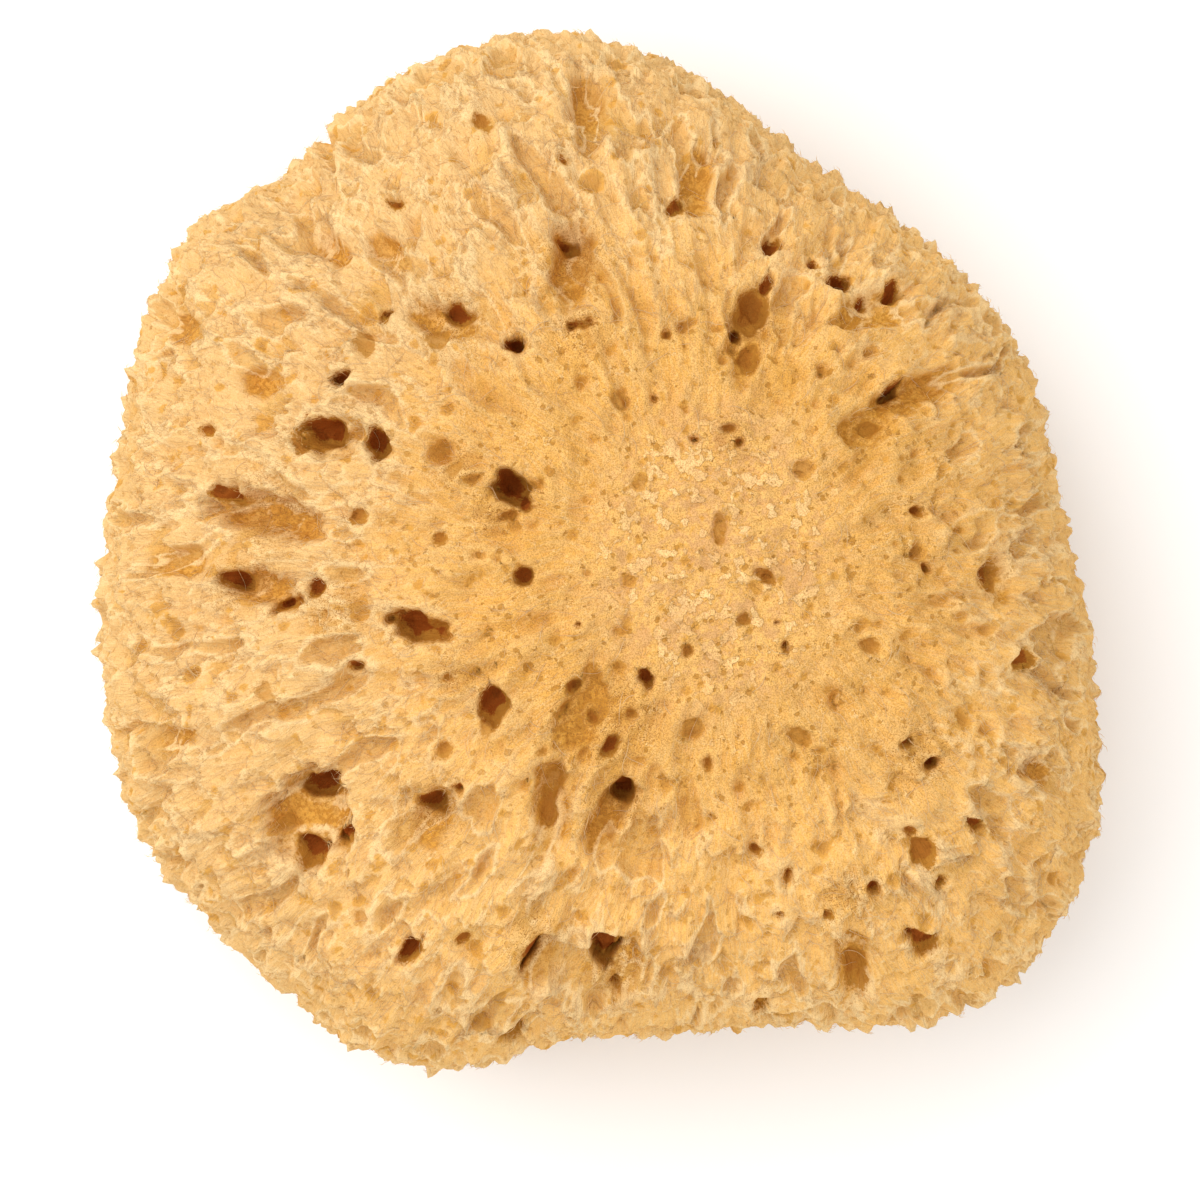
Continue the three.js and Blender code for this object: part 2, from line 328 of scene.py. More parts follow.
def by_axes(off, length, width, heading):
    """Offsets from an oval's middle, along and across it, as shares of half its length and half its width."""
    turn = math.radians(heading)
    along = off @ (math.cos(turn), math.sin(turn)) / (length / 2)
    across = off @ (-math.sin(turn), math.cos(turn)) / (width / 2)
    return along, across


def drawn_in(xy, free):
    """Slides crown points near each mouth, so that its walls get enough of them. With r the distance from
    the mouth's middle in mouth radii, all near points first move in by a share that fades with r squared,
    then those near r = 1 crowd towards it from both sides."""
    pull, fade = 0.34, 1.7
    crowd, band = 0.55, 0.45
    for x, y, length, width, heading, _, _ in MOUTHS:
        for step in ("pull", "crowd"):
            off = xy - (x, y)
            r = np.maximum(np.hypot(*by_axes(off, length, width, heading)), 1e-6)
            if step == "pull":
                share = pull * np.exp(-(r / fade) ** 2)
            else:
                share = crowd * (r - 1) / r * np.exp(-((r - 1) / band) ** 2)
            xy = xy - off * (share * free)[..., None]
    return xy


def smooth_dome(row, angle, free):
    """The smooth dome's points in millimetres, without tufts or holes, at each row and angle. Where free
    is above 0 the points slide towards the mouths."""
    reach, height = section(row)
    radius = outline_radius(angle) - SKIN
    xy = (reach * radius)[..., None] * np.stack([np.cos(angle), np.sin(angle)], -1)
    moved = drawn_in(xy, free) if np.any(free) else xy
    moved_radius = outline_radius(np.arctan2(moved[..., 1], moved[..., 0])) - SKIN
    reach_moved = np.hypot(*np.moveaxis(moved, -1, 0)) / moved_radius
    height = np.where(row < CROWN_ROWS, dome_height(reach_moved), height)
    height = height + smooth(WIDEST_HEIGHT, 0.8 * CROWN, height) * swell(moved)
    return np.concatenate([moved + OUTLINE_SHIFT, height[..., None]], -1)


def normals_of(grid):
    """Outward normals of a grid of points: the cross product of its two differences."""
    return unit(np.cross(np.gradient(grid, axis=0), np.gradient(grid, axis=1)))


# ---------------------------------------------------------------- canals, tufts and pores

holdfast = HOLDFAST + OUTLINE_SHIFT


class Sheet:
    """A grid of points over the smooth dome, and what the relief and the fibres on it need."""

    def __init__(self, row, angle, buried, free=0.0):
        """buried is how many millimetres each point sinks, to pass under the other sheet."""
        self.row, self.buried = row, buried
        self.dome = smooth_dome(row, angle, free)
        self.dome_normal = normals_of(self.dome)
        away = self.dome[..., :2] - holdfast
        self.bearing = np.arctan2(away[..., 1], away[..., 0])
        drop = CROWN - self.dome[..., 2]
        # distance from the holdfast, out over the crown and down the side
        self.travel = np.hypot(*np.moveaxis(away, -1, 0)) + 0.85 * drop
        outward = unit(np.concatenate([away, -0.02 * (1 + drop)[..., None]], -1))
        across = np.sum(outward * self.dome_normal, -1, keepdims=True) * self.dome_normal
        self.outward = unit(outward - across)
        self.flank = smooth(70, 20, self.dome[..., 2])  # 0 on the crown, 1 down the side
        self.matted = np.exp(-((away[..., 0] / 19) ** 2 + (away[..., 1] / 24) ** 2) ** 1.5)
        self.ragged = layered(self.dome / 2.6, 2, 11, 0.6)  # what makes each mouth's edge uneven
        self.skin, self.shares = surface(self)
        self.normal = normals_of(self.skin)

    def trimmed(self):
        """The sheet without its first and last columns."""
        for name, value in vars(self).items():
            if name == "shares":
                self.shares = {share: values[:, 1:-1] for share, values in value.items()}
            else:
                setattr(self, name, value[:, 1:-1])
        return self


BAND = 1.6  # each band of bearings is this many times further out than the last
FIRST_BAND = 2.5


def comb_places(sheet, bend=0.0, seed=0):
    """Places that run along the canals: the bearing wound round a circle, and the travel, all in
    millimetres. The circle grows in bands, so that a pattern keeps its width all the way out. Even and odd
    bands are given apart, with the odd band's share, which is 0 or 1 wherever one of them changes."""
    travel = sheet.travel
    wander = bend * noise(sheet.dome / 9.0, seed + 5)
    turn = sheet.bearing + wander / np.maximum(travel, 6)
    band = np.log(np.maximum(travel, FIRST_BAND) / FIRST_BAND) / math.log(BAND)
    whole = np.floor(band)
    share = smooth(0.3, 0.7, band - whole)
    is_even = whole % 2 == 0
    places = []
    for k in (np.where(is_even, whole, whole + 1), np.where(is_even, whole + 1, whole)):
        radius = FIRST_BAND * BAND ** k
        places.append(np.stack([np.cos(turn) * radius, np.sin(turn) * radius, travel + 173.0 * k], -1))
    return places[0], places[1], np.where(is_even, share, 1 - share)


def combed(sheet, pattern, width, length, bend=0.0, seed=0):
    """A pattern laid on the comb places with features of a width and length, its two bands mixed."""
    even, odd, odd_share = comb_places(sheet, bend, seed)
    size = np.array([width, width, length])
    both = zip(pattern(even / size, seed), pattern(odd / size, seed))
    return [a * (1 - odd_share) + b * odd_share for a, b in both]


def ridges(place, seed):
    """Sharp crests and round valleys: one minus the size of the noise, from 0 to 1."""
    return [1 - np.clip(abs(noise(place, seed)) * 1.6, 0, 1)]


def bowls(place, seed):
    """Hollows that stand side by side with thin walls between them, a hollow to a cell: how deep each
    place is, and how near it is to the top of a wall. Each hollow's luck sets its depth, and some are
    filled up."""
    first, second, _, luck = cells(place + 0.22 * noise(place * 2.1, seed + 1)[..., None], seed)
    depth = smooth(0.25, 0.95, luck)
    gap = second - first
    return [depth * smooth(0.02, 0.5, gap), depth * (1 - smooth(0.0, 0.17, gap))]


def scallops(place, seed):
    """Rounded points, one to a cell, of differing heights."""
    first, _, _, owner = cells(place, seed)
    return [np.clip(1 - (first / 0.66) ** 1.6, 0, 1) * (0.35 + 0.65 * owner)]


def plumes(place, seed):
    """Tongues that lie over one another like shingles, one to a cell: how far each place is along its own
    tongue, from 0 to 1, and how near the tongue's frayed outer end."""
    jagged = 0.25 * noise(place * 2.3, seed + 1) + 0.10 * noise(place * 6.5, seed + 2)
    first, second, offset, luck = cells(place + jagged[..., None], seed)
    end = (1 - smooth(0.0, 0.16, second - first)) * smooth(0.05, 0.35, offset[..., 2])
    return [np.clip(0.5 + offset[..., 2], 0, 1) * (0.5 + 0.5 * luck), end]


def rolling(place, seed):
    """Smooth noise, about -1 to 1, with finer noise laid over it to roughen its slopes."""
    return [noise(place, seed) + 0.22 * noise(place * 3.1, seed + 1)]


def eased(grid):
    """Each point of a grid averaged with its four neighbours; the border keeps its own values."""
    mean = grid.copy()
    around = grid[:-2, 1:-1] + grid[2:, 1:-1] + grid[1:-1, :-2] + grid[1:-1, 2:]
    mean[1:-1, 1:-1] = (2 * grid[1:-1, 1:-1] + around) / 6
    return mean


LEAN_IN = 0.06  # how far a canal leans in for each length it goes down
GAPE_REACH = 2.5  # distances from a mouth's edge are kept up to this many millimetres
# the key light comes from this side; the mouths' painted shade is darkest on it, under the wall that shades
# the inside
LIT_FROM = np.array([-0.5, 0.86])  # mouths are darkest and troughs steepest on this side


def in_mouth(points, mouth, edge):
    """How far points lie from a mouth's middle, in mouth radii, with the edge made uneven."""
    x, y, length, width, heading, _, _ = mouth
    off = points[..., :2] - OUTLINE_SHIFT - (x, y)
    return np.hypot(*by_axes(off, length, width, heading)) + edge * (2.0 / (width + 1.6))


def mouth_shape(sheet):
    """The pull on each point into the mouth it lies in, how far inside its edge and inside its darkest
    part it lies in millimetres, how dark the mouth is, and how near a lip. The pull grows with the mouth's
    depth and with the square of its darkness. It is full in the middle, falls with the square of the way
    out to half of that at the edge, and fades out from 0.80 to 1.08 radii. It goes straight down on the
    crown and straight in on the flank, and leans a little towards the holdfast. Where mouths meet, the
    stronger pull counts."""
    dome, ragged = sheet.dome, sheet.ragged
    pull = np.zeros(dome.shape)
    gape = np.full(ragged.shape, -GAPE_REACH)
    deep = gape.copy()
    dark_here, lip = np.zeros(ragged.shape), np.zeros(ragged.shape)
    for mouth in MOUTHS:
        x, y, length, width, _, depth, dark = mouth
        centre = np.array([x, y]) + OUTLINE_SHIFT
        near = np.hypot(*np.moveaxis(dome[..., :2] - centre, -1, 0)) < length + 3
        d = in_mouth(dome[near], mouth, ragged[near])
        to_root = holdfast - centre
        lean = LEAN_IN * min(np.hypot(*to_root) / 30, 1)
        upright = sheet.dome_normal[near][:, 2:]
        down = -sheet.dome_normal[near] * (1 - upright)
        down[:, 2:] -= upright
        down[:, :2] += lean * to_root / max(np.hypot(*to_root), 1)
        bowl = 0.5 + 0.5 * (1 - np.clip(d, 0, 1) ** 2)
        sunk = (0.6 + 0.52 * depth) * (0.3 + 0.7 * dark ** 2) * bowl * (1 - smooth(0.80, 1.08, d))
        stretch = unit(down) * sunk[:, None]
        deeper = np.linalg.norm(stretch, axis=-1) > np.linalg.norm(pull[near], axis=-1)
        pull[near] = np.where(deeper[:, None], stretch, pull[near])
        # painted shade: each mouth's darkest part is moved towards the light's side, under the wall that
        # would shade it
        shaded = in_mouth(dome[near] - 0.16 * width * np.append(LIT_FROM, 0), mouth, ragged[near])
        deep[near] = np.maximum(deep[near], np.clip((0.72 - shaded) * width / 2, -GAPE_REACH, GAPE_REACH))
        inside = np.clip((1 - d) * width / 2, -GAPE_REACH, GAPE_REACH)
        dark_here[near] = np.where(inside > gape[near], dark, dark_here[near])
        gape[near] = np.maximum(gape[near], inside)
        reach = 0.9 / (0.5 * width)  # a lip is about a millimetre wide on any mouth
        lip[near] = np.maximum(lip[near], np.exp(-((d - 1.1 - 0.6 * reach) / (0.6 * reach)) ** 2))
    return pull, gape, deep, dark_here, lip


def trough_shape(sheet):
    """The open troughs: how far down each point sits, with steep sides and a smooth floor."""
    dome = sheet.dome
    sink = np.zeros(dome.shape[:2])
    floor = sink.copy()
    edge = 0.30 * layered(dome / 3.1, 2, 21)
    for x, y, length, width, heading, depth in TROUGHS:
        off = dome[..., :2] - (x, y) - OUTLINE_SHIFT
        along, across = by_axes(off, length, width, heading)
        d = (abs(along) ** 2.4 + abs(across) ** 2.4) ** (1 / 2.4) + edge
        lit_side = smooth(-0.6, 0.8, off @ LIT_FROM / (width / 2))
        outside = (d - 1) * width / 2
        inside = 1 - smooth(-1.7 + 0.7 * lit_side, 0.7, outside)
        sink = np.maximum(sink, 1.4 * depth * inside * (0.75 + 0.35 * lit_side))
        floor = np.maximum(floor, inside)
    return sink, floor


PORE_REACH = 1.0  # distances outside a pore's edge are kept up to this many millimetres


def dimples(dome, spacing, least, most, share, seed):
    """Round pores, one to a cell where its luck allows, of radii between least and most: how far inside a
    pore's edge each place is in millimetres, negative outside, and the pore's radius."""
    first, _, _, luck = cells((dome + 0.8 * noise(dome / 2.1, seed)[..., None]) / spacing, seed)
    radius = least + (most - least) * (luck / share) ** 2
    return np.where(luck < share, radius - first * spacing, -PORE_REACH), radius


# Patterns laid along the canals: width and length in millimetres, how much they wander, and a seed.
COARSE_RIDGES = (6.5, 26.0, 3.0, 41)
MEDIUM_RIDGES = (3.4, 15.0, 2.5, 54)
FINE_RIDGES = (1.5, 3.8, 1.0, 43)
LARGE_BOWLS = (5.6, 12.0, 2.5, 44)
SMALL_BOWLS = (3.0, 5.4, 1.5, 45)
TUFTS = (3.2, 8.0, 1.0, 46)
CHANNELS = (4.8, 19.0, 2.5, 52)
PLUMES = (5.0, 12.0, 2.0, 55)

# Round pores: spacing, least and most radius in millimetres, the share of cells that have one, a seed.
SMALL_PORES = (2.5, 0.4, 1.0, 0.75, 49)
LARGE_PORES = (5.0, 0.8, 1.9, 0.5, 50)
FLANK_HOLES = (7.2, 1.0, 3.3, 0.75, 56)
FLANK_HOLE_DEPTH = 1.9  # in radii
# how dark the painted shade down a flank hole is
FLANK_HOLE_DARKNESS = 0.8
FLANK_HOLE_LOSS = 4.0  # millimetres that a hole's radius loses above the lower flank
CRUMB_SIZE, CRUMB_HEIGHT = 2.6, 1.8
KNOB_SPACING, KNOB_HEIGHT = 3.4, 3.3


def flank_holes(dome, low_down):
    """Torn holes on the flank, which shrink away further up: how far inside an edge each place is, and
    the hole's radius. The places are stretched and swayed by noise first, so that no hole is round."""
    torn = dome * (1, 1, 0.75) + 1.6 * noise(dome / 3.4, 58)[..., None]
    bore, radius = dimples(torn, *FLANK_HOLES)
    return np.maximum(bore - FLANK_HOLE_LOSS * (1 - low_down), -PORE_REACH), radius


def surface(sheet):
    """The finished skin: the smooth dome moved out along its normal by a sum, in millimetres. Ridges that
    run out from the holdfast, plumes that overlap, tufts, knobs and crumbs add to it. Bowls, channels,
    pores, holes and troughs take from it. Each is weighted by where it belongs: rimward is 0 near the
    holdfast and 1 at the edge, felted falls as rimward grows, flank grows down the side, low_down is 1
    below 38 mm, and matted is 1 on the holdfast's patch. Tops also lean outward, and mouths pull down.
    Each move is then eased towards its neighbours' moves, sunk where this sheet passes under the other,
    and faded out over the last 4 mm above the cut. Returns the points, and the named shares that the
    colours and the fibres use."""
    dome, flank, matted = sheet.dome, sheet.flank, sheet.matted
    coarse, = combed(sheet, ridges, *COARSE_RIDGES)
    medium, = combed(sheet, ridges, *MEDIUM_RIDGES)
    fine, = combed(sheet, ridges, *FINE_RIDGES)
    deep, wall = combed(sheet, bowls, *LARGE_BOWLS)
    small_deep, small_wall = combed(sheet, bowls, *SMALL_BOWLS)
    tuft, = combed(sheet, scallops, *TUFTS)
    valley, = combed(sheet, rolling, *CHANNELS)
    plume, plume_end = combed(sheet, plumes, *PLUMES)
    grain = layered(dome / 1.25, 2, 47)
    lumps = layered(dome / 7.0, 2, 48)
    small, _ = dimples(dome, *SMALL_PORES)
    large, large_radius = dimples(dome, *LARGE_PORES)
    low_down = smooth(50, 38, dome[..., 2])
    bore, bore_radius = flank_holes(dome, low_down)
    knob_first, _, _, knob_luck = cells((dome + 0.8 * noise(dome / 2.4)[..., None]) / KNOB_SPACING, 57)
    knob = np.clip(1 - knob_first / 0.66, 0, 1) * (0.35 + 0.65 * knob_luck)
    pore = np.maximum(np.maximum(small, large), -PORE_REACH)
    swayed = (dome + 0.9 * noise(dome / 1.7)[..., None]) / CRUMB_SIZE
    crumb_first, crumb_second, _, crumb_luck = cells(swayed, 51)
    crumb = np.clip(crumb_second - crumb_first, 0, 0.45) * matted * (0.3 + 0.9 * crumb_luck)

    pull, gape, depths, dark, lip = mouth_shape(sheet)
    sink, floor = trough_shape(sheet)
    dark = np.where(bore > gape, FLANK_HOLE_DARKNESS, dark)
    gape, depths = np.maximum(gape, bore), np.maximum(depths, bore - 0.5 * bore_radius)
    gloom = dark * smooth(-0.1, 0.5, gape)
    rimward = smooth(26, 62, sheet.travel)
    channel = valley - 0.62 + 0.36 * rimward + 0.10 * layered(dome / 1.6, 1, 53) - 0.5 * matted
    channel -= 0.2 * low_down
    carved = smooth(0.0, 0.30, channel) * (1 - floor)
    brink = np.exp(-((channel + 0.06) / 0.08) ** 2) * rimward
    combing = (1 - 0.85 * matted) * (1 - 0.8 * floor) * (1 - 0.6 * carved) * (0.7 + 0.3 * rimward)
    combing = combing * (1 - 0.45 * low_down)
    felted = 1 - 0.8 * rimward
    blade = (wall + 0.6 * small_wall * felted) * combing
    plumed = (1 - floor) * (1 - carved) * (1 - matted) * (0.35 + 0.65 * rimward)
    pored = (1 - 0.6 * matted) * (1 - flank) * (1 - 0.6 * rimward)

    # broad lumps, then the grain and the matted patch's crumbs
    out = 0.6 * lumps + 0.30 * felted * grain + CRUMB_HEIGHT * crumb
    # ridges along the canals, with blades that stand up between bowls
    long_ridges = 1.7 * (coarse - 0.6) + 1.3 * (medium - 0.6)
    out += combing * ((1 - 0.3 * rimward) * long_ridges + 0.4 * felted * (fine - 0.6))
    out += combing * (0.6 * blade - 1.5 * felted * deep - 0.8 * felted * small_deep + 0.7 * felted)
    # tufts and knobs down the side, plumes towards the edge, and channels with raised brinks
    out += flank * (1 - floor) * (1 - 0.5 * carved) * (1.1 * tuft + KNOB_HEIGHT * knob - 0.9)
    out += plumed * (1.35 * plume - 0.5)
    out += 0.35 * brink - carved * (0.9 + 0.8 * rimward)
    # pores, torn holes and troughs, with a little lip at each mouth
    out -= pored * (0.9 * smooth(-0.3, 0.5, small) + 1.1 * large_radius * smooth(-0.3, 0.7, large))
    out -= FLANK_HOLE_DEPTH * bore_radius * smooth(-0.2, 0.9, bore)
    out -= sink - 0.35 * lip * (1 - floor)

    lean = 0.2 * np.clip(out, 0, 3) + 0.3 * felted * wall + 0.4 * rimward * plume
    lean_out = combing * (1 - gloom) * lean
    moved = sheet.dome_normal * out[..., None] + sheet.outward * lean_out[..., None] + pull
    easing = (0.25 + 0.35 * rimward - 0.35 * flank) * (1 - gloom)
    moved = moved + easing[..., None] * (eased(moved) - moved)
    moved = moved - sheet.dome_normal * sheet.buried[..., None]
    above_foot = smooth(0, 4.0, dome[..., 2])
    points = dome + above_foot[..., None] * moved
    points[..., 2] = np.maximum(points[..., 2], 0)

    # painted shade: how deep in a bowl, or low past a plume's end, each place is; the felt is coloured darker
    # there
    hollow = combing * (0.75 * deep + 0.4 * small_deep) * felted
    hollow = np.clip(hollow + 0.6 * rimward * smooth(0.22, 0.02, plume) * (1 - plume_end), 0, 1)
    crest = np.clip(blade + brink + 0.5 * lip + (0.3 + 0.7 * rimward) * plume_end, 0, 1)
    shares = {
        "gape": gape, "depths": depths, "dark": dark, "gloom": gloom, "floor": floor, "lip": lip,
        "flank": flank, "hollow": hollow, "pore": pore, "crest": crest, "tuft": knob,
        "channel": np.clip(channel, -0.6, 0.6), "ridge": combing * (0.5 * coarse + 0.5 * medium),
        "matted": matted, "crumb": crumb, "rimward": rimward,
        "worn": worn_share(dome[..., :2] - OUTLINE_SHIFT),
        # painted light: the rim's side towards the key light, where the felt is painted paler
        "sunlit": rimward * smooth(-40, 50, dome[..., :2] @ (-0.88, 0.47)),
    }
    return points, shares


CROWN_HIDDEN = 8.0  # the crown sheet's last rows lie this deep
SIDE_HIDDEN = 1.2  # the side sheet's top edge lies this deep
SIDE_TOP = 132  # the row that the side sheet starts from
SIDE_COLUMNS = 880
SIDE_TOP_ROWS, SIDE_ROWS = 9, 101  # above and below the last of the crown's own rows


def crown_sheet():
    """The sheet over the crown, which dives out of sight past the shoulder, under the side sheet."""
    row, angle = square_rings(ROWS)
    buried = CROWN_HIDDEN * smooth(CROWN_ROWS + 0.2, CROWN_ROWS + 1, row)
    return Sheet(row, angle, buried, 1 - smooth(CROWN_ROWS - 14, CROWN_ROWS, row))


def side_sheet():
    """The finer sheet down the flank, round the whole sponge. Its top edge comes up from under the crown."""
    top_rows = np.linspace(SIDE_TOP, CROWN_ROWS, SIDE_TOP_ROWS)[:-1]
    rows = np.concatenate([top_rows, np.linspace(CROWN_ROWS, ROWS, SIDE_ROWS)])
    angles = 2 * np.pi * np.arange(-1, SIDE_COLUMNS + 1) / SIDE_COLUMNS
    row, angle = np.meshgrid(rows, angles, indexing="ij")
    buried = SIDE_HIDDEN * (1 - smooth(SIDE_TOP + 1, CROWN_ROWS - 2, row))
    return Sheet(row, angle, buried).trimmed()


crown, side = crown_sheet(), side_sheet()

# ---------------------------------------------------------------- meshes


def placed(name, data):
    """A new object of some data, linked into the scene."""
    thing = bpy.data.objects.new(name, data)
    bpy.context.scene.collection.objects.link(thing)
    return thing


def add_mesh(name, points, faces, shares_by_name, uv, places=None):
    """A mesh object at the origin from points in millimetres and faces that all have as many corners,
    or a list of such face arrays, with one float attribute to each named share and an optional map."""
    groups = faces if isinstance(faces, list) else [faces]
    corners = np.concatenate([g.ravel() for g in groups]).astype(np.int32)
    sizes = np.concatenate([np.full(len(g), g.shape[1], np.int32) for g in groups])
    starts = np.concatenate([[0], np.cumsum(sizes)[:-1]]).astype(np.int32)
    mesh = bpy.data.meshes.new(name)
    mesh.vertices.add(len(points))
    mesh.vertices.foreach_set("co", (points * MM).astype(np.float32).ravel())
    mesh.loops.add(len(corners))
    mesh.loops.foreach_set("vertex_index", corners)
    mesh.polygons.add(len(sizes))
    mesh.polygons.foreach_set("loop_start", starts)
    mesh.update(calc_edges=True)
    mesh.polygons.foreach_set("use_smooth", np.ones(len(sizes), bool))
    for share, values in shares_by_name.items():
        attribute = mesh.attributes.new(share, "FLOAT", "POINT")
        attribute.data.foreach_set("value", values.astype(np.float32).ravel())
    for place, values in (places or {}).items():
        attribute = mesh.attributes.new(place, "FLOAT_VECTOR", "POINT")
        attribute.data.foreach_set("vector", values.astype(np.float32).ravel())
    layer = mesh.uv_layers.new(name="OFBake")
    layer.uv.foreach_set("vector", uv[corners].astype(np.float32).ravel())
    mesh.validate()
    return placed(name, mesh)


CUT_RINGS = (0.985, 0.955, 0.91, 0.85, 0.78, 0.70, 0.61, 0.52, 0.43, 0.34, 0.25, 0.16, 0.08)
CUT_HALVED = 2  # the outermost rings of the cut face each have half as many points as the one before


def rim_order(count):
    """The border of a square grid of count points a side, anticlockwise as seen from above."""
    grid = np.arange(count * count).reshape(count, count)
    return np.concatenate([grid[-1, :-1], grid[::-1, -1][:-1], grid[0, ::-1][:-1], grid[:, 0][:-1]])


def cut_face(rim_points, first):
    """The flat underside inside the rim: rings that close in on the middle and dish slightly at each
    pore, then a fan. Returns the new points and triangle arrays, with new points counted from first."""
    points, triangles = [], []
    middle = rim_points.mean(0)
    outer = RIM
    number = first
    for step, share in enumerate(CUT_RINGS):
        source = rim_points[:: 2 ** min(step + 1, CUT_HALVED)]
        ring = middle + (source - middle) * share
        dents = cells(ring / 3.4, 61)[0]
        ring[:, 2] = 0.9 * (1 - smooth(0.15, 0.42, dents)) * smooth(0.97, 0.9, np.full(len(ring), share))
        now = number + np.arange(len(ring))
        number += len(ring)
        following = np.roll(now, -1)
        after = np.roll(outer, -1)
        if len(outer) == 2 * len(now):
            a, b, c = outer[::2], outer[1::2], np.roll(outer, -2)[::2]
            triangles += [np.stack([a, now, b], -1), np.stack([b, now, following], -1),
                          np.stack([b, following, c], -1)]
        else:
            triangles += [np.stack([outer, now, after], -1), np.stack([after, now, following], -1)]
        points.append(ring)
        outer = now
    points.append(middle[None])
    triangles.append(np.stack([outer, np.full(len(outer), number), np.roll(outer, -1)], -1))
    return np.concatenate(points), np.concatenate(triangles)


GRID = 2 * ROWS + 1
RIM = rim_order(GRID)


def sheet_piece(name, sheet, faces, extra, extra_shares, uv):
    """A mesh of a sheet's points and extra ones, with the sheet's shares and its places along the canals."""
    count = len(extra)
    values = {}
    for share, grid in sheet.shares.items():
        values[share] = np.concatenate([grid.ravel(), np.full(count, extra_shares.get(share, 0.0))])
    even, odd, odd_share = comb_places(sheet, 2.0, 60)
    values["odd_share"] = np.concatenate([odd_share.ravel(), np.zeros(count)])
    places = {"comb_even": np.concatenate([even.reshape(-1, 3), extra]),
              "comb_odd": np.concatenate([odd.reshape(-1, 3), extra])}
    return add_mesh(name, np.concatenate([sheet.skin.reshape(-1, 3), extra]), faces, values, uv, places)


def body_piece():
    """The crown sheet and the cut face under it, as one closed mesh."""
    grid = np.arange(GRID * GRID).reshape(GRID, GRID)
    quads = np.stack([grid[:-1, :-1], grid[1:, :-1], grid[1:, 1:], grid[:-1, 1:]], -1).reshape(-1, 4)
    points = crown.skin.reshape(-1, 3)
    under, triangles = cut_face(points[RIM], len(points))
    across = np.stack(np.meshgrid(*[np.linspace(0.002, 0.86, GRID)] * 2, indexing="ij"), -1).reshape(-1, 2)
    below = 0.93 + 0.062 * (under[:, :2] - MIDDLE[:2]) / SIZE[:2] * 2
    return sheet_piece("sponge_body", crown, [quads, triangles], under, {}, np.concatenate([across, below]))


FOOT_WIDTH, FOOT_LIFT = 11.0, 0.5  # how far the side piece turns in and up under the sponge
TOP_WIDTH, TOP_DROP = 1.5, 4.0  # how far it turns in and down inside the sponge, by its top edge


def side_piece():
    """The side sheet as a closed ring: its outer face, then strips from its foot in under the sponge, up
    inside it and back out to its top edge. The hidden strip by the top edge gets the same painted shade as
    the inside of a canal."""
    rows, columns = side.row.shape
    foot, top = side.skin[-1], side.skin[0]
    inward = unit(MIDDLE[:2] - foot[:, :2])
    under, inner = foot.copy(), top.copy()
    under[:, :2] += FOOT_WIDTH * inward
    under[:, 2] = FOOT_LIFT
    inner[:, :2] += TOP_WIDTH * inward
    inner[:, 2] -= TOP_DROP
    count = rows * columns
    rings = np.arange(count).reshape(rows, columns)
    extra = count + np.arange(2 * columns).reshape(2, columns)
    rings = np.concatenate([rings, extra, rings[:1]])
    near, far = rings[:-1], rings[1:]
    quads = np.stack([near, far, np.roll(far, -1, 1), np.roll(near, -1, 1)], -1).reshape(-1, 4)
    # painted shade: the hidden strip takes the darkest colour down a mouth
    shares = {"gape": 2.0, "depths": 2.0, "dark": 1.0}
    around = np.linspace(0.002, 0.998, columns)
    down = np.concatenate([np.linspace(0.002, 0.96, rows), [0.975, 0.99]])
    uv = np.stack(np.meshgrid(around, down), -1).reshape(-1, 2)
    return sheet_piece("sponge_side", side, quads, np.concatenate([under, inner]), shares, uv)


# ---------------------------------------------------------------- loose fibres

HAIRS = 27000  # six triangles each, so a piece of them stays under 200,000
STRANDS = 1700
STRAND_RINGS = 10  # 60 triangles each
BRIDGING = 0.12  # the share of strands over a mouth that are kept
OPEN_REACH = 0.95  # no fibre hangs over a mouth within this many of its radii
NOT_ALONG = np.array([0.13, 0.31, 0.94])  # a direction that no fibre runs along
THIRDS = (0, 2 * math.pi / 3, 4 * math.pi / 3)  # the corners of a fibre's section
SHADE_STEP = 0.012  # the corners differ this much in shade, so that a fibre's map has some width


def random_cells(sheet, rng, count, wanted):
    """Cells of a sheet at random, as many per area as the wanted share says."""
    down = np.linalg.norm(np.diff(sheet.skin, axis=0)[:, :-1], axis=-1)
    along = np.linalg.norm(np.diff(sheet.skin, axis=1)[:-1], axis=-1)
    total = np.cumsum((down * along * wanted[:-1, :-1]).ravel())
    return np.divmod(np.searchsorted(total, rng.random(count) * total[-1]), sheet.row.shape[1] - 1)


def scattered(sheet, rng, count, wanted):
    """Random places on the skin, as many per area as the wanted share says. Returns a function that
    reads any grid of values at those places, by mixing the four corners of the cell."""
    i, j = random_cells(sheet, rng, count, wanted)
    a, b = rng.random((2, count))

    def read(values):
        flat = values.ndim == 2
        parts = [values[i, j], values[i + 1, j], values[i + 1, j + 1], values[i, j + 1]]
        weights = [(1 - a) * (1 - b), a * (1 - b), a * b, (1 - a) * b]
        return sum(part * (w if flat else w[:, None]) for part, w in zip(parts, weights))

    return read


def over_mouth(points):
    """True for points that lie over one of the mouths."""
    over = np.zeros(len(points), bool)
    for mouth in MOUTHS:
        over |= in_mouth(points, mouth, 0.0) < OPEN_REACH
    return over


def fibre_mesh(name, points, faces, tips, shades, spread=0.0):
    """A mesh of fibres whose map is how far each point is towards its tip, and its shade."""
    uv = np.stack([0.02 + 0.96 * tips, shades + spread], -1)
    return add_mesh(name, points, faces, {"tip": tips, "shade": shades}, uv)


def three_round(centre, along, thickness):
    """The three corners of a fibre's section round a point on it."""
    side = unit(np.cross(along, NOT_ALONG))
    other = np.cross(along, side)
    return [centre + thickness * (math.cos(t) * side + math.sin(t) * other) for t in THIRDS]


